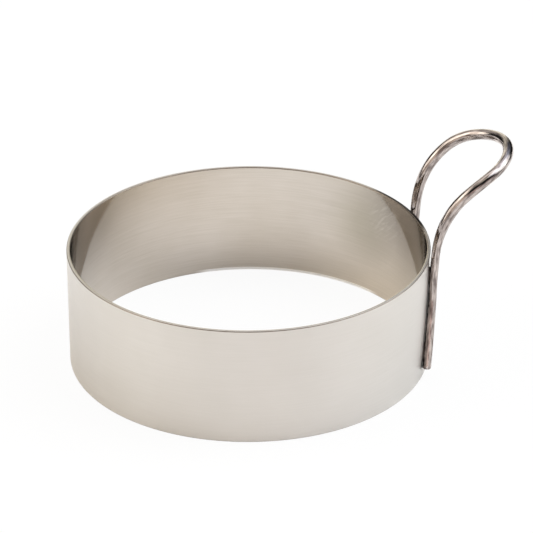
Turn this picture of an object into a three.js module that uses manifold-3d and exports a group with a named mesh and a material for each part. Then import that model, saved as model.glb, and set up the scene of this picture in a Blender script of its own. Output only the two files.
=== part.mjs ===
// Egg ring: a stainless strip rolled into a ring, with a bent wire handle welded to its outside.
// Millimetres, +Z up. The ring stands on Z = 0 and its handle reaches out along +X.

import * as THREE from 'three';
import { mergeVertices } from 'three/addons/utils/BufferGeometryUtils.js';
import Module from 'manifold-3d';

// Ring band: the outside of the ring, and the strip that it is rolled from
const RING_DIAMETER = 76.2;
const RING_HEIGHT = 25.4;
const STRIP_THICKNESS = 0.8;
const EDGE_ROUND = 0.2;
const SEAM_WIDTH = 0.8;

// Wire handle: spans and lengths are measured on the centre line of the wire
const WIRE_DIAMETER = 2.3;
const FOOT_SPAN = 33.2;
const FOOT_LIFT = 1.9;
const KNEE_DROP = 5.9;
const KNEE_BLEND = 4;
const LOOP_WIDTH = 23.7;
const LOOP_LENGTH = 27.9;
const BEND_RADIUS = 18.75;
const BEND_ANGLE = THREE.MathUtils.degToRad(68.5);

// Leg welds: beads in the crevice between the wire and the wall, two on each leg
const WELD_GAP = 0.2;
const WELD_LENGTH = 4.5;
const WELD_WIDTH = 2.8;
const WELD_DEPTH = 1.8;
const LOWER_WELD_HEIGHT = 5.5;
const UPPER_WELD_DROP = 4;

// Clearance left between a weld and the metal that it joins
const FIT_CLEARANCE = 0.04;

// Fineness of the round surfaces
const RING_SEGMENTS = 96;
const EDGE_DIVISIONS = 1;
const WIRE_STEPS = 96;
const WIRE_DIVISIONS = 8;
const WELD_SEGMENTS = 20;

// Sizes that follow from the ones above
const ringRadius = RING_DIAMETER / 2;
const wireRadius = WIRE_DIAMETER / 2;
const legRadius = ringRadius + WELD_GAP + wireRadius;
const kneeHeight = RING_HEIGHT - KNEE_DROP;
const legSplay = (FOOT_SPAN - LOOP_WIDTH) / 2 / (kneeHeight - FOOT_LIFT);
const loopRadius = LOOP_WIDTH / 2;

const steel = {
  band: new THREE.MeshStandardMaterial({ color: 0xd9d3cb, roughness: 0.32, metalness: 1 }),
  wire: new THREE.MeshStandardMaterial({ color: 0xc9c2bb, roughness: 0.12, metalness: 1 }),
  weld: new THREE.MeshStandardMaterial({ color: 0xa59d95, roughness: 0.45, metalness: 1 }),
};

const wasm = await Module();
wasm.setup();

/** A closed three.js geometry as a solid that can be joined and cut. */
function toSolid(geometry) {
  const bare = geometry.clone();
  bare.deleteAttribute('normal');
  bare.deleteAttribute('uv');
  const merged = mergeVertices(bare);
  return new wasm.Manifold(new wasm.Mesh({
    numProp: 3,
    vertProperties: merged.attributes.position.array,
    triVerts: merged.index.array,
  }));
}

/** A cut solid as a three.js geometry again. */
function toGeometry(solid) {
  const mesh = solid.getMesh();
  const geometry = new THREE.BufferGeometry();
  geometry.setAttribute('position', new THREE.BufferAttribute(mesh.vertProperties, 3));
  geometry.setIndex(new THREE.BufferAttribute(mesh.triVerts, 1));
  geometry.computeVertexNormals();
  return geometry;
}

/** The whole ring before it is parted at the seam: the strip's section with rounded edges, turned. */
function ringGeometry() {
  const inner = ringRadius - STRIP_THICKNESS + EDGE_ROUND;
  const outer = ringRadius - EDGE_ROUND;
  const low = EDGE_ROUND;
  const high = RING_HEIGHT - EDGE_ROUND;
  const quarter = Math.PI / 2;
  const section = new THREE.Path();
  section.absarc(inner, low, EDGE_ROUND, 2 * quarter, 3 * quarter);
  section.absarc(outer, low, EDGE_ROUND, 3 * quarter, 4 * quarter);
  section.absarc(outer, high, EDGE_ROUND, 0, quarter);
  section.absarc(inner, high, EDGE_ROUND, quarter, 2 * quarter);
  section.closePath();
  const ring = new THREE.LatheGeometry(section.getPoints(EDGE_DIVISIONS), RING_SEGMENTS);
  return ring.rotateX(quarter);
}

/** A block of the given width that spans the wall at the seam, on the handle's side. */
function seamBlock(width) {
  const block = new THREE.BoxGeometry(2 * STRIP_THICKNESS, width, 2 * RING_HEIGHT);
  return block.translate(ringRadius - STRIP_THICKNESS / 2, 0, RING_HEIGHT / 2);
}

/** Half the distance between the two legs at a height: splayed feet, a soft knee, then upright. */
function legHalfSpan(height) {
  const below = kneeHeight - height;
  if (below >= KNEE_BLEND) return loopRadius + legSplay * below;
  if (below <= -KNEE_BLEND) return loopRadius;
  return loopRadius + legSplay * (below + KNEE_BLEND) ** 2 / (4 * KNEE_BLEND);
}

/** Centre line of the handle: a flat wire loop whose legs lie on the wall and whose end leans outward. */
class HandleCurve extends THREE.Curve {
  /** A point of the flat loop, by its length up the handle, laid on the wall and bent over the rim. */
  static fold(length, side) {
    const onWall = Math.min(length, RING_HEIGHT);
    const past = length - onWall;
    const angle = Math.min(past / BEND_RADIUS, BEND_ANGLE);
    const straight = past - angle * BEND_RADIUS;
    const wallDistance = Math.sqrt(legRadius ** 2 - legHalfSpan(onWall) ** 2);
    return new THREE.Vector3(
      wallDistance + BEND_RADIUS * (1 - Math.cos(angle)) + straight * Math.sin(angle),
      side,
      onWall + BEND_RADIUS * Math.sin(angle) + straight * Math.cos(angle),
    );
  }

  /** From one foot, round the tip of the loop at t = 0.5, to the other foot. */
  getPoint(t, target = new THREE.Vector3()) {
    const roundStart = RING_HEIGHT + LOOP_LENGTH - loopRadius;
    const legLength = roundStart - FOOT_LIFT;
    const travel = (1 - Math.abs(1 - 2 * t)) * (legLength + loopRadius * Math.PI / 2);
    const turn = Math.max(travel - legLength, 0) / loopRadius;
    const length = FOOT_LIFT + Math.min(travel, legLength) + loopRadius * Math.sin(turn);
    const halfSpan = turn > 0 ? loopRadius * Math.cos(turn) : legHalfSpan(length);
    return target.copy(HandleCurve.fold(length, t < 0.5 ? -halfSpan : halfSpan));
  }
}

/** Round wire along the handle's centre line. */
function wireGeometry(radius) {
  const section = new THREE.Shape().absarc(0, 0, radius, 0, 2 * Math.PI);
  return new THREE.ExtrudeGeometry(section, {
    steps: WIRE_STEPS,
    curveSegments: WIRE_DIVISIONS,
    extrudePath: new HandleCurve(),
  });
}

/** A weld bead before it is fitted: a long drop lying along the leg, centred on the wall. */
function beadGeometry(height, side) {
  const bead = new THREE.SphereGeometry(0.5, WELD_SEGMENTS, WELD_SEGMENTS / 2);
  const slope = (legHalfSpan(height) - legHalfSpan(height + WELD_LENGTH / 2)) / (WELD_LENGTH / 2);
  bead.rotateX(Math.PI / 2).scale(WELD_DEPTH, WELD_WIDTH, WELD_LENGTH).rotateX(side * Math.atan(slope));
  bead.translate(ringRadius, 0, 0).rotateZ(side * Math.asin(legHalfSpan(height) / legRadius));
  return bead.translate(0, 0, height);
}

/** The space that the wall takes up for a bead, filled to the ring's axis. */
function wallCutter() {
  const radius = ringRadius + FIT_CLEARANCE;
  const drum = new THREE.CylinderGeometry(radius, radius, RING_HEIGHT, RING_SEGMENTS);
  return drum.rotateX(Math.PI / 2).translate(0, 0, RING_HEIGHT / 2);
}

const eggRing = new THREE.Group();

/** Adds one named piece to the egg ring. */
function addPiece(name, geometry, material) {
  const piece = new THREE.Mesh(geometry, material);
  piece.name = name;
  eggRing.add(piece);
}

// Ring band, parted at the seam, and the butt weld that closes it
const wholeRing = toSolid(ringGeometry());
const seamFill = toSolid(seamBlock(SEAM_WIDTH - 2 * FIT_CLEARANCE));
addPiece('ring_band', toGeometry(wholeRing.subtract(toSolid(seamBlock(SEAM_WIDTH)))), steel.band);
addPiece('band_seam_weld', toGeometry(wholeRing.intersect(seamFill)), steel.weld);

// Wire handle
addPiece('wire_handle', wireGeometry(wireRadius), steel.wire);

// Leg welds, each cut to the wall and the wire that it joins
const takenSpace = toSolid(wallCutter()).add(toSolid(wireGeometry(wireRadius + FIT_CLEARANCE)));
const weldHeights = { lower: LOWER_WELD_HEIGHT, upper: RING_HEIGHT - UPPER_WELD_DROP };
const legSides = { left: 1, right: -1 };
for (const [level, height] of Object.entries(weldHeights)) {
  for (const [hand, side] of Object.entries(legSides)) {
    const bead = toSolid(beadGeometry(height, side)).subtract(takenSpace);
    addPiece(`leg_weld_${hand}_${level}`, toGeometry(bead), steel.weld);
  }
}

// The origin lies on the table, midway between the far side of the ring and the tip of the handle
const handleReach = HandleCurve.fold(RING_HEIGHT + LOOP_LENGTH, 0).x + wireRadius;
eggRing.position.x = (ringRadius - handleReach) / 2;
eggRing.updateMatrixWorld(true);

export default eggRing;
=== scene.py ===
"""The finished look of an egg ring: a brushed stainless band with a bright wire handle.

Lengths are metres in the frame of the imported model: +Z up, the handle along +X.
"""

import logging
import math
from dataclasses import dataclass, field
from enum import Enum
from typing import Any

import bpy
from mathutils import Euler, Matrix, Vector


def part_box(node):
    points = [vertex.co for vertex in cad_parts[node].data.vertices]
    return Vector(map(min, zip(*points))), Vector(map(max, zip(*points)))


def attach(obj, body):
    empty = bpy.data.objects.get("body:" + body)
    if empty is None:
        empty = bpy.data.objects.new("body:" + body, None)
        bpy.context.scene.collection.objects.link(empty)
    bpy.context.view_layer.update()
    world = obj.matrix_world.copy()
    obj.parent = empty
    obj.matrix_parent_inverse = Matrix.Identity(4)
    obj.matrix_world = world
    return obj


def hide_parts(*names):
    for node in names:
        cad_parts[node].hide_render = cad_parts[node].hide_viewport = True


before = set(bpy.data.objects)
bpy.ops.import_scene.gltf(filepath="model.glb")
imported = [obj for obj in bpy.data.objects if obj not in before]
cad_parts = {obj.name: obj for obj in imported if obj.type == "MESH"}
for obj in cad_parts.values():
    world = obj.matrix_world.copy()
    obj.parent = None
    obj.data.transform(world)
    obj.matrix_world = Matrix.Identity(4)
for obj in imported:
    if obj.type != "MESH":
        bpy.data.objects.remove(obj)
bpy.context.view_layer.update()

LOG = logging.getLogger("egg_ring")
BODY = "root"
MM = 0.001
IMAGE_PX = 533
WHITE = (1.0, 1.0, 1.0, 1.0)
# A face with this many corners is the cut end of a piece, and stays flat
CAP_CORNERS = 5

Tree = bpy.types.NodeTree
Socket = bpy.types.NodeSocket


class Slot(Enum):
    """The record's material slots."""

    BAND = "band_steel"
    WIRE = "wire_steel"
    WELD = "weld_steel"


class Side(Enum):
    """The two legs of the handle, by the sign of their place along Y."""

    LEFT = 1
    RIGHT = -1


class SocketKind(Enum):
    """The kinds of named input that a shape tree takes."""

    LENGTH = "NodeSocketFloat"
    COUNT = "NodeSocketInt"
    PLACE = "NodeSocketVector"
    FINISH = "NodeSocketMaterial"


def linear(colour: str) -> tuple[float, float, float, float]:
    """Turns an sRGB hex colour into linear light.

    Args:
        colour: six hex digits, such as "d9d3cb".

    Returns:
        Red, green, blue and an alpha of 1.
    """
    shares = [int(colour[i:i + 2], 16) / 255 for i in (0, 2, 4)]
    light = [c / 12.92 if c <= 0.04045 else ((c + 0.055) / 1.055) ** 2.4 for c in shares]
    return (light[0], light[1], light[2], 1.0)


def add_node(
    tree: Tree,
    kind: str,
    inputs: dict[str | int, Any] | None = None,
    **settings: Any,
) -> bpy.types.Node:
    """Adds one node with its settings, values and links.

    Args:
        tree: the tree that takes the node.
        kind: Blender's type name of the node.
        inputs: values, or output sockets to link, by the input's name or number.
        settings: properties of the node, such as its operation.

    Returns:
        The new node.
    """
    node = tree.nodes.new(kind)
    for name, value in settings.items():
        setattr(node, name, value)
    for key, value in (inputs or {}).items():
        if isinstance(value, Socket):
            tree.links.new(value, node.inputs[key])
        else:
            node.inputs[key].default_value = value
    return node


def empty_tree(owner: bpy.types.ID) -> Tree:
    """Gives a material or world its node tree, cleared of the default nodes.

    Args:
        owner: the material or world.

    Returns:
        Its empty tree.
    """
    owner.use_nodes = True
    owner.node_tree.nodes.clear()
    return owner.node_tree


class ShapeTree:
    """A Geometry Nodes tree with named inputs that is run once and kept as a plain mesh."""

    def __init__(self, name: str, inputs: dict[str, SocketKind]) -> None:
        """Starts the tree with its inputs.

        Args:
            name: the tree's name.
            inputs: the kind of each named input.
        """
        self.tree = bpy.data.node_groups.new(name, "GeometryNodeTree")
        self.identifiers: dict[str, str] = {}
        self.tree.interface.new_socket("Geometry", in_out="INPUT", socket_type="NodeSocketGeometry")
        self.tree.interface.new_socket("Geometry", in_out="OUTPUT", socket_type="NodeSocketGeometry")
        for label, kind in inputs.items():
            made = self.tree.interface.new_socket(label, in_out="INPUT", socket_type=kind.value)
            self.identifiers[label] = made.identifier
        self.given = self.add("NodeGroupInput").outputs

    def add(self, kind: str, inputs: dict[str | int, Any] | None = None, **settings: Any) -> bpy.types.Node:
        """Adds a node to this tree, as add_node does."""
        return add_node(self.tree, kind, inputs, **settings)

    def close(self, mesh: Socket) -> None:
        """Ends the tree: smooth faces but flat end caps, real meshes instead of instances, and the finish.

        Args:
            mesh: the socket that gives the finished shape.
        """
        corners = self.add("GeometryNodeInputMeshFaceNeighbors").outputs["Vertex Count"]
        few = self.add(
            "FunctionNodeCompare", {2: corners, 3: CAP_CORNERS}, data_type="INT", operation="LESS_THAN"
        )
        smooth = self.add("GeometryNodeSetShadeSmooth", {"Geometry": mesh, "Shade Smooth": few.outputs[0]})
        real = self.add("GeometryNodeRealizeInstances", {"Geometry": smooth.outputs[0]})
        dressed = self.add(
            "GeometryNodeSetMaterial",
            {"Geometry": real.outputs[0], "Material": self.given["Finish"]},
        )
        self.add("NodeGroupOutput", {"Geometry": dressed.outputs[0]})

    def run(self, name: str, host: bpy.types.Mesh, values: dict[str, Any]) -> bpy.types.Object:
        """Runs the tree on a host mesh.

        Args:
            name: the name of the piece that it makes.
            host: the mesh that the tree starts from.
            values: the value of each named input.

        Returns:
            A plain mesh object at the origin, with its place in its mesh.
        """
        worker = bpy.data.objects.new(name + "_worker", host)
        bpy.context.scene.collection.objects.link(worker)
        shaping = worker.modifiers.new("shape", "NODES")
        shaping.node_group = self.tree
        for label, value in values.items():
            shaping[self.identifiers[label]] = value
        normals = worker.modifiers.new("even_normals", "WEIGHTED_NORMAL")
        normals.keep_sharp = True
        evaluated = worker.evaluated_get(bpy.context.evaluated_depsgraph_get())
        mesh = bpy.data.meshes.new_from_object(evaluated)
        worker.modifiers.clear()
        bpy.data.objects.remove(worker)
        mesh.name = name
        piece = bpy.data.objects.new(name, mesh)
        bpy.context.scene.collection.objects.link(piece)
        return piece


def eased(value: float, start: float, end: float) -> float:
    """Rises smoothly from 0 at the start to 1 at the end.

    Args:
        value: where it is read.
        start: where the rise begins.
        end: where it is done.

    Returns:
        The share of the rise.
    """
    share = min(max((value - start) / (end - start), 0.0), 1.0)
    return share * share * (3 - 2 * share)


def remap(
    tree: Tree,
    value: Socket,
    span: tuple[float, float] = (0.0, 1.0),
    low: float | Socket = 0.0,
    high: float | Socket = 1.0,
) -> Socket:
    """Runs from low to high while a value crosses a span, and stays level outside it.

    Args:
        tree: the material's tree.
        value: the value that is read.
        span: where the run starts and ends.
        low: the result up to the start of the span.
        high: the result from its end on.

    Returns:
        The result.
    """
    inputs = {"Value": value, "From Min": span[0], "From Max": span[1], "To Min": low, "To Max": high}
    return add_node(tree, "ShaderNodeMapRange", inputs).outputs[0]


def blend(tree: Tree, share: Socket, first: str | Socket, second: str | Socket) -> Socket:
    """Mixes two colours, each an sRGB hex colour or a socket that gives one.

    Args:
        tree: the material's tree.
        share: the share of the second colour.
        first: the colour at a share of 0.
        second: the colour at a share of 1.

    Returns:
        The mixed colour.
    """
    ends = [linear(end) if isinstance(end, str) else end for end in (first, second)]
    return add_node(tree, "ShaderNodeMix", {0: share, 6: ends[0], 7: ends[1]}, data_type="RGBA").outputs[2]


def hand_over(piece: bpy.types.Object, slot: Slot, *nodes: str) -> None:
    """Sets a finished piece on the frame in place of the solids that it stands for.

    Args:
        piece: the finished piece.
        slot: the record's slot; not used.
        nodes: the CAD nodes that it replaces.
    """
    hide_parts(*nodes)
    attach(piece, BODY)
    LOG.info("%s: %d faces, stands for %s", piece.name, len(piece.data.polygons), ", ".join(nodes))


@dataclass(frozen=True)
class PaintedLightPatch:
    """A soft round patch on the inside of the wall, lighter as painted light or darker as painted shade, by
    its two tones, its middle and its radius.
    """

    tones: tuple[str, str]
    azimuth: float
    height: float
    size: float


@dataclass(frozen=True)
class BrushedStrip:
    """Stainless strip, belt-brushed outside and bright inside: a soft warm sheen between two clear edges.

    The brushing runs along the strip, so it smears light up and down only. The slit edges are deburred,
    which leaves them dull; their brown is painted shade at the foot and a painted dark reflection on the
    rim.
    Painted shade and reflection darken the rim by one leg; beside it lie a patch of painted light, a patch
    of painted shade and the scuffs of use; and a painted highlight lies on a stretch of the inner lower
    edge. The inside loses a little light at grazing angles.

    A span gives the two values of a noise, of a patch's share, or of the strip's face or edge attribute
    between which one look gives way to another.
    """

    ring_radius: float
    ring_height: float
    ring_centre: Vector
    inside: tuple[str, str] = ("c0b7ab", "cec6bd")
    outside: tuple[str, str] = ("c9c5bf", "d1cdc8")
    inside_grazing: str = "e4e4e4"
    scuffed: str = "dbd5cc"
    # Painted shade and dark reflection on the rim by one leg
    painted_rim_shade: str = "241d19"
    # Painted shade at the foot and painted dark reflection along the rim, on all rounded edges
    painted_edge_shade: str = "85796d"
    # Painted highlight on a stretch of the inner lower edge
    painted_foot_highlight: str = "fefcf9"
    inside_roughness: tuple[float, float] = (0.07, 0.11)
    outside_roughness: tuple[float, float] = (0.44, 0.5)
    edge_roughness: float = 0.45
    foot_highlight_roughness: float = 0.1
    anisotropy: float = 0.5
    across_scratches: float = 0.25
    inside_span: tuple[float, float] = (0.0, 0.1)
    edge_span: tuple[float, float] = (0.1, 0.5)
    scratch_length: float = 12 * MM
    # A belt's scratches are about 0.05 mm wide: drawn six times as wide, so that they show
    scratch_width: float = 0.3 * MM
    scratch_depth: float = 0.004 * MM
    scratch_strength: float = 0.05
    scratch_span: tuple[float, float] = (0.3, 0.7)
    smudge_size: float = 14 * MM
    smudge_share: float = 0.8
    smudge_span: tuple[float, float] = (0.55, 1.25)
    scuff_patch: tuple[float, float, float] = (math.radians(28.3), 19.5 * MM, 7 * MM)
    scuff_lines: tuple[float, float] = (0.5 * MM, 4 * MM)
    scuff_slant: float = math.radians(40)
    scuff_span: tuple[float, float] = (0.47, 0.68)
    # Painted light: a lighter patch low on the inside. Painted shade: a darker patch above it.
    painted_light_patches: tuple[PaintedLightPatch, ...] = (
        PaintedLightPatch(("d5ccbf", "dfd6ca"), math.radians(28), -2 * MM, 26 * MM),
        PaintedLightPatch(("b6ae9f", "c0b8ab"), math.radians(40), 16 * MM, 10.5 * MM),
    )
    painted_patch_span: tuple[float, float] = (0.0, 0.75)
    # Where the painted shade on the rim lies: its middle, reach and depth
    rim_shade_azimuth: float = math.radians(19.5)
    rim_shade_reach: float = 12.5 * MM
    rim_shade_span: tuple[float, float] = (0.0, 0.3)
    rim_shade_depth: tuple[float, float] = (0.3 * MM, 0.15 * MM)
    rim_shade_face_span: tuple[float, float] = (0.05, 0.3)
    # Where the painted highlight on the inner lower edge lies
    foot_highlight_azimuth: float = math.radians(67)
    foot_highlight_reach: tuple[float, float] = (math.radians(36.3), math.radians(31.35))
    foot_highlight_height: tuple[float, float] = (0.75 * MM, 0.6 * MM)
    foot_highlight_face_span: tuple[float, float] = (0.15, 0.35)

    def patch(self, tree: Tree, place: Socket, azimuth: float, height: float, size: float) -> Socket:
        """Fades out from the middle of a round patch on the wall.

        Args:
            tree: the material's tree.
            place: Object coordinates.
            azimuth: the direction of its middle from the ring's axis.
            height: the height of its middle above the table.
            size: its radius.

        Returns:
            The share, from 1 in the middle to 0 at the edge.
        """
        turn = Matrix.Rotation(azimuth, 3, "Z")
        middle = self.ring_centre + turn @ Vector((self.ring_radius, 0, height))
        scale = 1 / size
        centred = add_node(
            tree,
            "ShaderNodeMapping",
            {"Vector": place, "Location": -middle * scale, "Scale": (scale, scale, scale)},
        )
        return add_node(
            tree, "ShaderNodeTexGradient", {"Vector": centred.outputs[0]}, gradient_type="SPHERICAL"
        ).outputs["Fac"]

    def scuffs(self, tree: Tree, place: Socket, face: Socket) -> Socket:
        """Draws the feathery scuffs on the inside, thickest in the middle of their patch.

        Args:
            tree: the material's tree.
            place: Object coordinates.
            face: the strip's face attribute.

        Returns:
            The share of scuffed steel, from 0 to 1.
        """
        near = self.patch(tree, place, *self.scuff_patch)
        slant = Matrix.Rotation(self.scuff_slant, 3, "X") @ Matrix.Rotation(-self.scuff_patch[0], 3, "Z")
        turned = add_node(tree, "ShaderNodeMapping", {"Vector": place, "Rotation": slant.to_euler()})
        wide, long = (1 / length for length in self.scuff_lines)
        drawn = add_node(
            tree, "ShaderNodeMapping", {"Vector": turned.outputs[0], "Scale": (wide, long, wide)}
        )
        strokes = add_node(
            tree,
            "ShaderNodeTexNoise",
            {"Vector": drawn.outputs[0], "Scale": 1.0, "Detail": 4.0, "Distortion": 0.6},
        )
        sharp = remap(tree, strokes.outputs[0], self.scuff_span)
        faded = add_node(tree, "ShaderNodeMath", {0: sharp, 1: near}, operation="MULTIPLY")
        return remap(tree, face, self.inside_span, faded.outputs[0], 0.0)

    def rim_shade_share(self, tree: Tree, place: Socket, face: Socket) -> Socket:
        """Finds the stretch of the rim by one leg that takes painted shade and dark reflection, on its top
        and outside.

        Args:
            tree: the material's tree.
            place: Object coordinates.
            face: the strip's face attribute.

        Returns:
            The share of painted shade, from 0 to 1.
        """
        near = self.patch(tree, place, self.rim_shade_azimuth, self.ring_height, self.rim_shade_reach)
        share = remap(tree, near, self.rim_shade_span)
        height = add_node(tree, "ShaderNodeSeparateXYZ", {0: place}).outputs["Z"]
        start, full = (self.ring_height - depth for depth in self.rim_shade_depth)
        high = remap(tree, height, (start, full), 0.0, share)
        return remap(tree, face, self.rim_shade_face_span, 0.0, high)

    def foot_highlight_share(self, tree: Tree, place: Socket, face: Socket) -> Socket:
        """Finds the stretch of the inner lower edge that takes a painted highlight.

        Args:
            tree: the material's tree.
            place: Object coordinates.
            face: the strip's face attribute.

        Returns:
            The share of painted highlight, from 0 to 1.
        """
        towards = Vector((math.cos(self.foot_highlight_azimuth), math.sin(self.foot_highlight_azimuth), 0))
        ahead = add_node(tree, "ShaderNodeVectorMath", {0: place, 1: towards}, operation="DOT_PRODUCT")
        middle = self.ring_centre.dot(towards)
        start, full = (middle + self.ring_radius * math.cos(reach) for reach in self.foot_highlight_reach)
        within = remap(tree, ahead.outputs["Value"], (start, full))
        height = add_node(tree, "ShaderNodeSeparateXYZ", {0: place}).outputs["Z"]
        low = remap(tree, height, self.foot_highlight_height, 0.0, within)
        return remap(tree, face, self.foot_highlight_face_span, low, 0.0)

    def tone(self, tree: Tree, place: Socket, face: Socket, shade: Socket) -> Socket:
        """Colours the two faces, with the patches of painted light and shade and the scuffs of the inside.

        Args:
            tree: the material's tree.
            place: Object coordinates.
            face: the strip's face attribute.
            shade: how light the steel is, from 0 to 1.

        Returns:
            The colour.
        """
        tone = blend(tree, face, blend(tree, shade, *self.inside), blend(tree, shade, *self.outside))
        for painted_patch in self.painted_light_patches:
            spot = self.patch(tree, place, painted_patch.azimuth, painted_patch.height, painted_patch.size)
            spread = remap(tree, spot, self.painted_patch_span)
            inner = remap(tree, face, self.inside_span, spread, 0.0)
            tone = blend(tree, inner, tone, blend(tree, shade, *painted_patch.tones))
        return blend(tree, self.scuffs(tree, place, face), tone, self.scuffed)

    def material(self) -> bpy.types.Material:
        """Builds the finish.

        Returns:
            The material, which reads Object coordinates and the strip's own face and edge attributes.
        """
        made = bpy.data.materials.new("stainless_strip_belt_brushed")
        tree = empty_tree(made)
        place = add_node(tree, "ShaderNodeTexCoord").outputs["Object"]
        face = add_node(tree, "ShaderNodeAttribute", attribute_name="face").outputs["Fac"]
        edge = add_node(tree, "ShaderNodeAttribute", attribute_name="edge").outputs["Fac"]
        on_edge = remap(tree, edge, self.edge_span)
        foot_highlight_share = self.foot_highlight_share(tree, place, face)
        along, across = 1 / self.scratch_length, 1 / self.scratch_width
        brushing = add_node(
            tree, "ShaderNodeMapping", {"Vector": place, "Scale": (along, along, across)}
        )
        scratches = add_node(
            tree,
            "ShaderNodeTexNoise",
            {"Vector": brushing.outputs[0], "Scale": 1.0, "Detail": 3.0, "Roughness": 0.6},
        ).outputs[0]
        smudges = add_node(
            tree, "ShaderNodeTexNoise", {"Vector": place, "Scale": 1 / self.smudge_size, "Detail": 2.0}
        )
        blotch = add_node(
            tree,
            "ShaderNodeMath",
            {0: smudges.outputs[0], 1: self.smudge_share, 2: scratches},
            operation="MULTIPLY_ADD",
        )
        shade = remap(tree, blotch.outputs[0], self.smudge_span)
        # Painted shade and dark reflection on the rounded edges
        tone = blend(tree, on_edge, self.tone(tree, place, face, shade), self.painted_edge_shade)
        # Painted shade and dark reflection on the rim by one leg
        tone = blend(tree, self.rim_shade_share(tree, place, face), tone, self.painted_rim_shade)
        # Painted highlight on a stretch of the inner lower edge
        tone = blend(tree, foot_highlight_share, tone, self.painted_foot_highlight)
        gloss = [
            remap(tree, scratches, self.scratch_span, smooth, rough)
            for smooth, rough in (self.inside_roughness, self.outside_roughness)
        ]
        roughness = remap(tree, face, low=gloss[0], high=gloss[1])
        roughness = remap(tree, on_edge, low=roughness, high=self.edge_roughness)
        roughness = remap(tree, foot_highlight_share, low=roughness, high=self.foot_highlight_roughness)
        relief = add_node(
            tree,
            "ShaderNodeBump",
            {"Height": scratches, "Strength": self.scratch_strength, "Distance": self.scratch_depth},
        )
        around = add_node(tree, "ShaderNodeTangent", direction_type="RADIAL", axis="Z")
        steel = add_node(
            tree,
            "ShaderNodeBsdfPrincipled",
            {"Base Color": tone, "Metallic": 1.0, "Roughness": roughness,
             "Specular Tint": blend(tree, face, self.inside_grazing, "ffffff"),
             "Anisotropic": self.anisotropy, "Anisotropic Rotation": self.across_scratches,
             "Normal": relief.outputs[0], "Tangent": around.outputs[0]},
        )
        add_node(tree, "ShaderNodeOutputMaterial", {"Surface": steel.outputs[0]})
        return made


@dataclass(frozen=True)
class BrightWire:
    """Stainless wire, bright drawn: sharp reflections, broken along its length by the die's fine lines.

    The legs are painted black with the crevice's shade where they face the wall.
    """

    ring_radius: float
    ring_height: float
    ring_centre: Vector
    light: str = "bcb2ad"
    dark: str = "706764"
    roughness: tuple[float, float] = (0.06, 0.12)
    line_length: float = 2.5 * MM
    # Die lines are a few hundredths wide and far less deep: drawn as coarse as the picture can show
    line_width: float = 0.45 * MM
    line_depth: float = 0.07 * MM
    line_strength: float = 0.6
    line_span: tuple[float, float] = (0.35, 0.65)
    # Painted shade in the crevice between the legs and the wall
    painted_crevice_shade: str = "1f1a18"
    crevice_shade_roughness: float = 0.5
    crevice_shade_reach: tuple[float, float] = (0.95 * MM, 0.65 * MM)
    crevice_shade_patch: float = 1.6 * MM
    crevice_shade_ragged: float = 0.9 * MM
    crevice_shade_fade: float = 2 * MM

    def crevice_shade_share(self, tree: Tree, laid: Socket) -> Socket:
        """Finds the painted crevice shade on the legs: below the rim, near the wall, with a ragged edge.

        Args:
            tree: the material's tree.
            laid: the place in the wire as if it lay straight.

        Returns:
            The share of painted shade, from 0 to 1.
        """
        place = add_node(tree, "ShaderNodeTexCoord").outputs["Object"]
        flat = add_node(
            tree,
            "ShaderNodeMapping",
            {"Vector": place, "Location": -self.ring_centre, "Scale": (1, 1, 0)},
        )
        away = add_node(tree, "ShaderNodeVectorMath", {0: flat.outputs[0]}, operation="LENGTH")
        patches = add_node(
            tree, "ShaderNodeTexNoise", {"Vector": laid, "Scale": 1 / self.crevice_shade_patch, "Detail": 2.0}
        )
        ragged = add_node(
            tree,
            "ShaderNodeMath",
            {0: patches.outputs[0], 1: self.crevice_shade_ragged, 2: away.outputs["Value"]},
            operation="MULTIPLY_ADD",
        )
        start, full = (self.ring_radius + reach for reach in self.crevice_shade_reach)
        near = remap(tree, ragged.outputs[0], (start, full))
        height = add_node(tree, "ShaderNodeSeparateXYZ", {0: place}).outputs["Z"]
        below_rim = remap(tree, height, (self.ring_height, self.ring_height - self.crevice_shade_fade))
        return add_node(tree, "ShaderNodeMath", {0: near, 1: below_rim}, operation="MULTIPLY").outputs[0]

    def material(self) -> bpy.types.Material:
        """Builds the finish.

        Returns:
            The material, which reads Object coordinates and the wire's own along and section attributes.
        """
        made = bpy.data.materials.new("stainless_wire_bright_drawn")
        tree = empty_tree(made)
        along = add_node(tree, "ShaderNodeAttribute", attribute_name="along")
        section = add_node(tree, "ShaderNodeAttribute", attribute_name="section")
        run = add_node(tree, "ShaderNodeCombineXYZ", {"Z": along.outputs["Fac"]})
        laid = add_node(
            tree,
            "ShaderNodeVectorMath",
            {0: section.outputs["Vector"], 1: run.outputs[0]},
            operation="ADD",
        ).outputs[0]
        lines_scale = (1 / self.line_width, 1 / self.line_width, 1 / self.line_length)
        drawing = add_node(tree, "ShaderNodeMapping", {"Vector": laid, "Scale": lines_scale})
        lines = add_node(
            tree, "ShaderNodeTexNoise", {"Vector": drawing.outputs[0], "Scale": 1.0, "Detail": 2.0}
        ).outputs[0]
        streaks = remap(tree, lines, self.line_span)
        relief = add_node(
            tree,
            "ShaderNodeBump",
            {"Height": lines, "Strength": self.line_strength, "Distance": self.line_depth},
        )
        # Painted crevice shade, black and rougher, on the legs by the wall
        crevice_shade_share = self.crevice_shade_share(tree, laid)
        gloss = remap(tree, streaks, low=self.roughness[0], high=self.roughness[1])
        steel = add_node(
            tree,
            "ShaderNodeBsdfPrincipled",
            {"Base Color": blend(tree, crevice_shade_share, blend(tree, streaks, self.dark, self.light), self.painted_crevice_shade),
             "Metallic": 1.0, "Roughness": remap(tree, crevice_shade_share, low=gloss, high=self.crevice_shade_roughness),
             "Normal": relief.outputs[0]},
        )
        add_node(tree, "ShaderNodeOutputMaterial", {"Surface": steel.outputs[0]})
        return made


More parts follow.
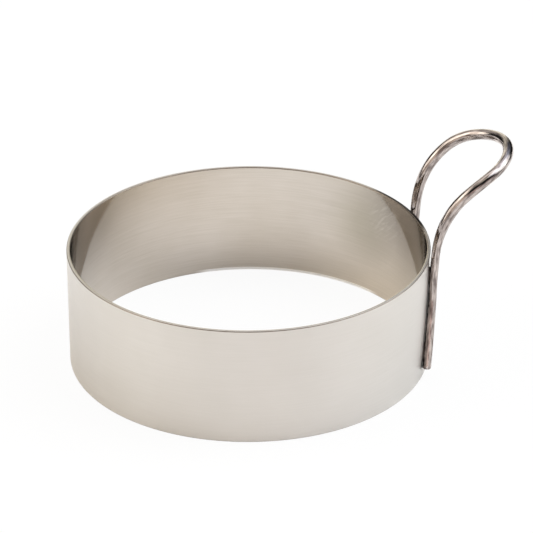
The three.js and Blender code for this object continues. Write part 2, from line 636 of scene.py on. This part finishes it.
@dataclass(frozen=True)
class SeamWeld:
    """Stainless weld metal, dressed flush with a fine wheel: a shade duller than the strip, and rippled."""

    name: str = "stainless_weld_wheel_dressed"
    light: str = "cac3bb"
    dark: str = "b9b1a8"
    roughness: tuple[float, float] = (0.12, 0.2)
    ripple: float = 0.5 * MM
    ripple_depth: float = 0.03 * MM
    ripple_strength: float = 0.4
    ripple_span: tuple[float, float] = (0.3, 0.7)

    def material(self) -> bpy.types.Material:
        """Builds the finish.

        Returns:
            The material, which reads Object coordinates.
        """
        made = bpy.data.materials.new(self.name)
        tree = empty_tree(made)
        place = add_node(tree, "ShaderNodeTexCoord").outputs["Object"]
        grain = add_node(
            tree, "ShaderNodeTexNoise", {"Vector": place, "Scale": 1 / self.ripple, "Detail": 3.0}
        ).outputs[0]
        relief = add_node(
            tree,
            "ShaderNodeBump",
            {"Height": grain, "Strength": self.ripple_strength, "Distance": self.ripple_depth},
        )
        steel = add_node(
            tree,
            "ShaderNodeBsdfPrincipled",
            {"Base Color": blend(tree, grain, self.dark, self.light), "Metallic": 1.0,
             "Roughness": remap(tree, grain, self.ripple_span, *self.roughness),
             "Normal": relief.outputs[0]},
        )
        add_node(tree, "ShaderNodeOutputMaterial", {"Surface": steel.outputs[0]})
        return made


@dataclass(frozen=True)
class LegWeld(SeamWeld):
    """Stainless weld metal in the crevice: dull, and painted black with the crevice's shade."""

    name: str = "stainless_weld_painted_crevice_shade"
    # Painted shade: the beads carry the crevice's shade in their colour
    light: str = "5a504a"
    dark: str = "241f1c"
    roughness: tuple[float, float] = (0.35, 0.55)


@dataclass
class RingBand:
    """The rolled strip and the butt weld that closes it, on the handle's side."""

    thickness: float = 0.8 * MM
    edge_round: float = 0.2 * MM
    seam_width: float = 0.8 * MM
    segments: int = 480
    edge_steps: int = 6
    radius: float = field(init=False)
    height: float = field(init=False)
    centre: Vector = field(init=False)

    def __post_init__(self) -> None:
        """Takes the ring's size and place from its solid."""
        low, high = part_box("ring_band")
        self.radius = (high.y - low.y) / 2
        self.height = high.z - low.z
        self.centre = Vector((low.x + self.radius, 0, low.z))

    def rolled(self, name: str, start: float, sweep: float, finish: bpy.types.Material) -> bpy.types.Object:
        """Rolls a length of strip: its rounded section swept round the ring's axis.

        Args:
            name: the name of the piece.
            start: the angle that it starts at, from the middle of the seam.
            sweep: the angle that it covers.
            finish: its material.

        Returns:
            The piece.
        """
        shape = ShapeTree(
            name + "_rolled",
            {"Middle Radius": SocketKind.LENGTH, "Strip Thickness": SocketKind.LENGTH,
             "Strip Width": SocketKind.LENGTH, "Edge Round": SocketKind.LENGTH,
             "Edge Steps": SocketKind.COUNT, "Start": SocketKind.LENGTH,
             "Sweep": SocketKind.LENGTH, "Segments": SocketKind.COUNT,
             "Middle": SocketKind.PLACE, "Finish": SocketKind.FINISH},
        )
        given = shape.given
        roll = shape.add(
            "GeometryNodeCurveArc",
            {"Resolution": given["Segments"], "Radius": given["Middle Radius"],
             "Start Angle": given["Start"], "Sweep Angle": given["Sweep"]},
            mode="RADIUS",
        )
        upright = shape.add("GeometryNodeSetCurveNormal", {"Curve": roll.outputs[0]}, mode="Z_UP")
        blank = shape.add(
            "GeometryNodeCurvePrimitiveQuadrilateral",
            {"Width": given["Strip Thickness"], "Height": given["Strip Width"]},
            mode="RECTANGLE",
        )
        section = shape.add(
            "GeometryNodeFilletCurve",
            {"Curve": blank.outputs[0], "Radius": given["Edge Round"], "Count": given["Edge Steps"]},
            mode="POLY",
        )
        swept = shape.add(
            "GeometryNodeCurveToMesh",
            {"Curve": upright.outputs[0], "Profile Curve": self.marked(shape, section.outputs[0]),
             "Fill Caps": True},
        )
        placed = shape.add(
            "GeometryNodeTransform", {"Geometry": swept.outputs[0], "Translation": given["Middle"]}
        )
        shape.close(placed.outputs[0])
        return shape.run(
            name,
            bpy.data.meshes.new(name + "_host"),
            {"Middle Radius": self.radius - self.thickness / 2, "Strip Thickness": self.thickness,
             "Strip Width": self.height, "Edge Round": self.edge_round, "Edge Steps": self.edge_steps,
             "Start": start, "Sweep": sweep, "Segments": 2 + round(self.segments * sweep / (2 * math.pi)),
             "Middle": self.centre + Vector((0, 0, self.height / 2)), "Finish": finish},
        )

    def marked(self, shape: ShapeTree, section: Socket) -> Socket:
        """Marks the strip's section for its finish.

        Args:
            shape: the tree that sweeps the section.
            section: the section, with its thickness along X and its width along Y.

        Returns:
            The section with two attributes, each from 0 to 1: face, from the inside to the outside of
            the ring; and edge, on the rounded edges.
        """
        given = shape.given
        spot = shape.add("GeometryNodeInputPosition")
        parts = shape.add("ShaderNodeSeparateXYZ", {0: spot.outputs[0]}).outputs
        past = []
        for axis, size in (("X", "Strip Thickness"), ("Y", "Strip Width")):
            away = shape.add("ShaderNodeMath", {0: parts[axis]}, operation="ABSOLUTE")
            beyond = shape.add(
                "ShaderNodeMath", {0: given[size], 1: -0.5, 2: away.outputs[0]}, operation="MULTIPLY_ADD"
            )
            past.append(
                shape.add(
                    "ShaderNodeMath", {0: beyond.outputs[0], 1: given["Edge Round"]}, operation="ADD"
                )
            )
        corner = shape.add(
            "ShaderNodeMath", {0: past[0].outputs[0], 1: past[1].outputs[0]}, operation="MINIMUM"
        )
        edge = shape.add(
            "ShaderNodeMath", {0: corner.outputs[0], 1: given["Edge Round"]}, operation="DIVIDE"
        )
        outward = shape.add(
            "ShaderNodeMath", {0: parts["X"], 1: given["Strip Thickness"]}, operation="DIVIDE"
        )
        face = shape.add("ShaderNodeMath", {0: outward.outputs[0], 1: 0.5}, operation="ADD")
        for name, mark in (("face", face), ("edge", edge)):
            section = shape.add(
                "GeometryNodeStoreNamedAttribute",
                {"Geometry": section, "Name": name, "Value": mark.outputs[0]},
                data_type="FLOAT",
                domain="POINT",
            ).outputs[0]
        return section

    def build(self, strip_finish: bpy.types.Material, weld_finish: bpy.types.Material) -> None:
        """Makes both pieces and sets them on the frame.

        Args:
            strip_finish: the strip's material.
            weld_finish: the weld's material.
        """
        half = math.asin(self.seam_width / 2 / self.radius)
        band = self.rolled("band", half, 2 * (math.pi - half), strip_finish)
        hand_over(band, Slot.BAND, "ring_band")
        hand_over(self.rolled("seam_weld", -half, 2 * half, weld_finish), Slot.WELD, "band_seam_weld")


@dataclass
class WireHandle:
    """One bent wire: splayed legs on the wall, and a loop that leans out over the rim."""

    band: RingBand
    wire_radius: float = 1.148 * MM
    foot_span: float = 33.2 * MM
    foot_lift: float = 1.9 * MM
    knee_drop: float = 5.9 * MM
    knee_blend: float = 4 * MM
    loop_width: float = 23.7 * MM
    loop_length: float = 27.9 * MM
    bend_radius: float = 18.75 * MM
    bend_angle: float = math.radians(68.5)
    weld_gap: float = 0.03 * MM
    right_share: float = 0.78
    left_share: float = 0.92
    press_fade: float = 12 * MM
    leg_ease: float = 0.35 * MM
    # Where the leg starts to ease off the wall, is furthest off it and is back, from the rim
    ease_span: tuple[float, float, float] = (-6 * MM, 2 * MM, 14 * MM)
    end_round: float = 0.45 * MM
    end_steps: int = 6
    half_steps: int = 160
    sides: int = 32
    weld_heights: tuple[float, float] = (5.5 * MM, 21.4 * MM)
    weld_size: tuple[float, float, float] = (0.9 * MM, 1.4 * MM, 4.2 * MM)
    weld_roughness: float = 0.16 * MM
    lump_size: float = 0.9 * MM
    bead_segments: int = 40
    bead_rings: int = 28

    def share(self, length: float, side: Side) -> float:
        """Thickness of the wire as a share of the loop's: the legs are pressed a little thinner.

        Args:
            length: the distance up the handle from the table.
            side: the leg.

        Returns:
            The share, from the leg's own below the rim to 1 in the loop.
        """
        rim = self.band.height
        pressed = self.right_share if side is Side.RIGHT else self.left_share
        return pressed + (1 - pressed) * eased(length, rim, rim + self.press_fade)

    def leg_radius(self, length: float, side: Side) -> float:
        """Distance of the wire's centre line from the ring's axis, before it is bent over the rim.

        Args:
            length: the distance up the handle from the table.
            side: the leg.

        Returns:
            The distance, which eases off the wall towards the rim and back again in the bend.
        """
        start, furthest, end = (self.band.height + step for step in self.ease_span)
        ease = eased(length, start, furthest) * (1 - eased(length, furthest, end))
        off_wall = self.weld_gap + self.leg_ease * ease
        return self.band.radius + off_wall + self.share(length, side) * self.wire_radius

    def half_span(self, height: float) -> float:
        """Half the distance between the legs at a height: splayed feet, a soft knee, then upright.

        Args:
            height: the height above the table.

        Returns:
            The distance of a leg from the handle's middle plane.
        """
        knee = self.band.height - self.knee_drop
        splay = (self.foot_span - self.loop_width) / 2 / (knee - self.foot_lift)
        below = knee - height
        if below >= self.knee_blend:
            return self.loop_width / 2 + splay * below
        if below <= -self.knee_blend:
            return self.loop_width / 2
        return self.loop_width / 2 + splay * (below + self.knee_blend) ** 2 / (4 * self.knee_blend)

    def fold(self, length: float, span: float, side: Side) -> Vector:
        """Lays a point of the flat loop on the wall, or bends it out over the rim.

        Args:
            length: the point's distance up the handle from the table.
            span: its distance from the handle's middle plane.
            side: the leg.

        Returns:
            The point in the frame.
        """
        on_wall = min(length, self.band.height)
        past = length - on_wall
        angle = min(past / self.bend_radius, self.bend_angle)
        straight = past - angle * self.bend_radius
        wall = math.sqrt(self.leg_radius(length, side) ** 2 - self.half_span(on_wall) ** 2)
        out = wall + self.bend_radius * (1 - math.cos(angle)) + straight * math.sin(angle)
        rise = on_wall + self.bend_radius * math.sin(angle) + straight * math.cos(angle)
        return self.band.centre + Vector((out, side.value * span, rise))

    def path(self) -> list[tuple[Vector, float]]:
        """Follows the wire from the right foot round the loop to the left foot.

        Returns:
            The points of the centre line, each with the wire's thickness there as a share.
        """
        round_radius = self.loop_width / 2
        leg = self.band.height + self.loop_length - round_radius - self.foot_lift
        total = leg + round_radius * math.pi / 2
        quarter = math.pi / 2 / self.end_steps
        travels = [self.end_round * (1 - math.cos(i * quarter)) for i in range(self.end_steps)]
        rest = total - self.end_round
        travels += [self.end_round + rest * i / self.half_steps for i in range(self.half_steps + 1)]
        half = []
        for travel in travels:
            turn = max(travel - leg, 0) / round_radius
            length = self.foot_lift + min(travel, leg) + round_radius * math.sin(turn)
            span = round_radius * math.cos(turn) if turn > 0 else self.half_span(length)
            short = max(self.end_round - travel, 0)
            inset = self.end_round - math.sqrt(self.end_round ** 2 - short ** 2)
            half.append((length, span, inset / self.wire_radius))
        right, left = (
            [(self.fold(at, span, side), self.share(at, side) - less) for at, span, less in half]
            for side in (Side.RIGHT, Side.LEFT)
        )
        return right + left[-2::-1]

    def wire(self, finish: bpy.types.Material) -> bpy.types.Object:
        """Sweeps the wire along its path, with its cut ends rounded.

        Args:
            finish: the wire's material.

        Returns:
            The wire.
        """
        shape = ShapeTree(
            "swept_wire",
            {"Wire Radius": SocketKind.LENGTH, "Sides": SocketKind.COUNT, "Finish": SocketKind.FINISH},
        )
        given = shape.given
        line = shape.add("GeometryNodeMeshToCurve", {"Mesh": given["Geometry"]})
        distance = shape.add("GeometryNodeSplineParameter")
        measured = shape.add(
            "GeometryNodeStoreNamedAttribute",
            {"Geometry": line.outputs[0], "Name": "along", "Value": distance.outputs["Length"]},
            data_type="FLOAT",
            domain="POINT",
        )
        circle = shape.add(
            "GeometryNodeCurvePrimitiveCircle",
            {"Resolution": given["Sides"], "Radius": given["Wire Radius"]},
            mode="RADIUS",
        )
        place = shape.add("GeometryNodeInputPosition")
        section = shape.add(
            "GeometryNodeStoreNamedAttribute",
            {"Geometry": circle.outputs[0], "Name": "section", "Value": place.outputs[0]},
            data_type="FLOAT_VECTOR",
            domain="POINT",
        )
        share = shape.add("GeometryNodeInputNamedAttribute", {"Name": "share"}, data_type="FLOAT")
        swept = shape.add(
            "GeometryNodeCurveToMesh",
            {"Curve": measured.outputs[0], "Profile Curve": section.outputs[0],
             "Scale": share.outputs[0], "Fill Caps": True},
        )
        shape.close(swept.outputs[0])
        path = self.path()
        host = bpy.data.meshes.new("wire_host")
        host.from_pydata([p for p, _ in path], [(i, i + 1) for i in range(len(path) - 1)], [])
        shares = host.attributes.new("share", "FLOAT", "POINT")
        shares.data.foreach_set("value", [s for _, s in path])
        return shape.run(
            "handle_wire",
            host,
            {"Wire Radius": self.wire_radius, "Sides": self.sides, "Finish": finish},
        )

    def welds(self, finish: bpy.types.Material) -> bpy.types.Object:
        """Lays the beads in the crevice between the legs and the wall, two on each leg.

        Args:
            finish: the weld's material.

        Returns:
            The four beads as one piece.
        """
        shape = ShapeTree(
            "leg_beads",
            {"Bead Size": SocketKind.PLACE, "Bead Roughness": SocketKind.LENGTH,
             "Lump Size": SocketKind.LENGTH, "Segments": SocketKind.COUNT,
             "Rings": SocketKind.COUNT, "Finish": SocketKind.FINISH},
        )
        given = shape.given
        ball = shape.add(
            "GeometryNodeMeshUVSphere",
            {"Segments": given["Segments"], "Rings": given["Rings"], "Radius": 0.5},
        )
        turn = shape.add("GeometryNodeInputNamedAttribute", {"Name": "turn"}, data_type="FLOAT_VECTOR")
        beads = shape.add(
            "GeometryNodeInstanceOnPoints",
            {"Points": given["Geometry"], "Instance": ball.outputs[0],
             "Rotation": turn.outputs[0], "Scale": given["Bead Size"]},
        )
        real = shape.add("GeometryNodeRealizeInstances", {"Geometry": beads.outputs[0]})
        fineness = shape.add("ShaderNodeMath", {0: 1.0, 1: given["Lump Size"]}, operation="DIVIDE")
        lumps = shape.add("ShaderNodeTexNoise", {"Scale": fineness.outputs[0], "Detail": 2.0})
        centred = shape.add("ShaderNodeMath", {0: lumps.outputs[0], 1: 0.5}, operation="SUBTRACT")
        height = shape.add(
            "ShaderNodeMath", {0: centred.outputs[0], 1: given["Bead Roughness"]}, operation="MULTIPLY"
        )
        normal = shape.add("GeometryNodeInputNormal")
        push = shape.add(
            "ShaderNodeVectorMath", {0: normal.outputs[0], "Scale": height.outputs[0]}, operation="SCALE"
        )
        lumpy = shape.add(
            "GeometryNodeSetPosition", {"Geometry": real.outputs[0], "Offset": push.outputs[0]}
        )
        shape.close(lumpy.outputs[0])
        places, turns = [], []
        for height_at in self.weld_heights:
            for side in Side:
                span = self.half_span(height_at)
                swing = side.value * math.asin(span / self.leg_radius(height_at, side))
                step = self.weld_size[2] / 2
                slope = (span - self.half_span(height_at + step)) / step
                lean = Matrix.Rotation(side.value * math.atan(slope), 3, "X")
                out = Matrix.Rotation(swing, 3, "Z")
                places.append(self.band.centre + out @ Vector((self.band.radius, 0, height_at)))
                turns.extend((out @ lean).to_euler())
        host = bpy.data.meshes.new("bead_host")
        host.from_pydata(places, [], [])
        host.attributes.new("turn", "FLOAT_VECTOR", "POINT").data.foreach_set("vector", turns)
        return shape.run(
            "leg_welds",
            host,
            {"Bead Size": self.weld_size, "Bead Roughness": self.weld_roughness,
             "Lump Size": self.lump_size, "Segments": self.bead_segments, "Rings": self.bead_rings,
             "Finish": finish},
        )

    def build(self, wire_finish: bpy.types.Material, weld_finish: bpy.types.Material) -> None:
        """Makes the wire and its welds and sets them on the frame.

        Args:
            wire_finish: the wire's material.
            weld_finish: the welds' material.
        """
        hand_over(self.wire(wire_finish), Slot.WIRE, "wire_handle")
        beads = [node for node in sorted(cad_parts) if node.startswith("leg_weld")]
        hand_over(self.welds(weld_finish), Slot.WELD, *beads)


@dataclass(frozen=True)
class Glow:
    """One soft panel of light round the ring, by its direction and its reach in degrees."""

    azimuth: float
    elevation: float
    reach: float
    level: float
    tint: str = "ffffff"

    def add_to(
        self,
        tree: Tree,
        way: Socket,
        total: tuple[float, float, float] | Socket,
    ) -> Socket:
        """Adds the panel to the light of the room.

        Args:
            tree: the world's tree.
            way: the direction that is looked in.
            total: the light so far.

        Returns:
            The light with this panel.
        """
        around, up = math.radians(self.azimuth), math.radians(self.elevation)
        middle = (math.cos(around) * math.cos(up), math.sin(around) * math.cos(up), math.sin(up))
        facing = add_node(tree, "ShaderNodeVectorMath", {0: way, 1: middle}, operation="DOT_PRODUCT")
        share = add_node(
            tree,
            "ShaderNodeMapRange",
            {"Value": facing.outputs["Value"], "From Min": math.cos(math.radians(self.reach)),
             "From Max": 1.0, "To Max": self.level},
            interpolation_type="SMOOTHSTEP",
        )
        return add_node(
            tree,
            "ShaderNodeVectorMath",
            {0: share.outputs[0], 1: linear(self.tint)[:3], 2: total},
            operation="MULTIPLY_ADD",
        ).outputs[0]


@dataclass
class Studio:
    """The pale floor, the soft light and the camera."""

    band: RingBand
    floor_size: float = 6.0
    floor_drop: float = 0.02 * MM
    floor_colour: str = "f4f3f1"
    camera_lift: float = 0.93
    mirror_lift: float = 0.2
    room_level: float = 0.03
    glows: tuple[Glow, ...] = (
        Glow(0, 90, 40, 0.65, "fffaec"),
        Glow(0, 55, 36, 2.9, "ecf2fd"),
        Glow(60, 55, 36, 0.55, "d8e4ff"),
        Glow(120, 55, 36, 1.16, "fff8f3"),
        Glow(0, 30, 32, 2.62, "f9ffff"),
        Glow(180, 30, 32, 3.3, "fff9ee"),
        Glow(90, 6, 30, 1.66, "fffcec"),
        Glow(180, 6, 30, 0.12),
        Glow(225, 6, 30, 1.0, "ffeedf"),
        Glow(270, 6, 30, 1.15, "ffeae5"),
        Glow(315, 6, 30, 0.81, "fff0f0"),
    )
    # The photograph's camera, about the ring's axis, with the handle turned away from the picture plane
    handle_swing: float = math.radians(7.8)
    aside: float = 3.738 * MM
    back: float = 545.41 * MM
    above: float = 304.22 * MM
    pitch: float = math.radians(27.512)
    roll: float = math.radians(-0.124)
    focal_px: float = 2925.4
    sensor_mm: float = 36.0
    clip: tuple[float, float] = (0.01, 20.0)

    def floor(self) -> None:
        """Lays the floor, which shows white to the camera and keeps the ring's shadow."""
        paper = bpy.data.materials.new("matt_white_paper")
        tree = empty_tree(paper)
        matt = add_node(tree, "ShaderNodeBsdfDiffuse", {"Color": linear(self.floor_colour)})
        white = add_node(tree, "ShaderNodeEmission", {"Color": WHITE, "Strength": 1.0})
        ray = add_node(tree, "ShaderNodeLightPath").outputs
        mirrored = add_node(
            tree,
            "ShaderNodeMath",
            {0: ray["Is Glossy Ray"], 1: ray["Is Transmission Ray"]},
            operation="MAXIMUM",
        )
        lift = add_node(
            tree, "ShaderNodeMath", {0: mirrored.outputs[0], 1: self.mirror_lift}, operation="MULTIPLY"
        )
        backing = add_node(tree, "ShaderNodeEmission", {"Color": WHITE, "Strength": lift.outputs[0]})
        lifted = add_node(tree, "ShaderNodeAddShader", {0: matt.outputs[0], 1: backing.outputs[0]})
        seen = add_node(
            tree, "ShaderNodeMath", {0: ray["Is Camera Ray"], 1: self.camera_lift}, operation="MULTIPLY"
        )
        mixed = add_node(
            tree, "ShaderNodeMixShader", {0: seen.outputs[0], 1: lifted.outputs[0], 2: white.outputs[0]}
        )
        add_node(tree, "ShaderNodeOutputMaterial", {"Surface": mixed.outputs[0]})
        half = self.floor_size / 2
        mesh = bpy.data.meshes.new("floor")
        corners = [(-half, -half), (half, -half), (half, half), (-half, half)]
        mesh.from_pydata([(x, y, -self.floor_drop) for x, y in corners], [], [(0, 1, 2, 3)])
        mesh.materials.append(paper)
        sheet = bpy.data.objects.new("floor", mesh)
        bpy.context.scene.collection.objects.link(sheet)

    def room(self) -> None:
        """Sets the light of the room: soft panels on a dim ground, and white to the camera."""
        world = bpy.data.worlds.new("studio")
        tree = empty_tree(world)
        way = add_node(tree, "ShaderNodeTexCoord").outputs["Generated"]
        light: tuple[float, float, float] | Socket = (self.room_level,) * 3
        for glow in self.glows:
            light = glow.add_to(tree, way, light)
        ray = add_node(tree, "ShaderNodeLightPath").outputs
        shown = add_node(
            tree, "ShaderNodeMix", {0: ray["Is Camera Ray"], 6: light, 7: WHITE}, data_type="RGBA"
        )
        glowing = add_node(tree, "ShaderNodeBackground", {"Color": shown.outputs[2], "Strength": 1.0})
        add_node(tree, "ShaderNodeOutputWorld", {"Surface": glowing.outputs[0]})
        bpy.context.scene.world = world

    def camera(self) -> None:
        """Sets the camera at the photograph's viewing angle."""
        lens = bpy.data.cameras.new("photo_camera")
        lens.sensor_width = self.sensor_mm
        lens.lens = self.focal_px / IMAGE_PX * self.sensor_mm
        lens.clip_start, lens.clip_end = self.clip
        turn = Matrix.Rotation(-self.handle_swing, 4, "Z")
        shift = Matrix.Translation(self.band.centre)
        stand = Matrix.Translation((self.aside, -self.back, self.above))
        aim = Euler((math.pi / 2 - self.pitch, 0, 0)).to_matrix().to_4x4()
        tilt = Matrix.Rotation(self.roll, 4, "Z")
        made = bpy.data.objects.new("photo_camera", lens)
        made.matrix_world = shift @ turn @ stand @ aim @ tilt
        bpy.context.scene.collection.objects.link(made)
        bpy.context.scene.camera = made

    def build(self) -> None:
        """Sets up the floor, the light and the camera."""
        self.floor()
        self.room()
        self.camera()
        bpy.context.scene.view_settings.view_transform = "Standard"


def main() -> None:
    """Builds the pieces in order and sets up the studio round them."""
    logging.basicConfig(level=logging.INFO, format="%(name)s: %(message)s")
    band = RingBand()
    strip = BrushedStrip(band.radius, band.height, band.centre)
    band.build(strip.material(), SeamWeld().material())
    wire = BrightWire(band.radius, band.height, band.centre)
    WireHandle(band).build(wire.material(), LegWeld().material())
    Studio(band).build()


if __name__ == "__main__":
    main()
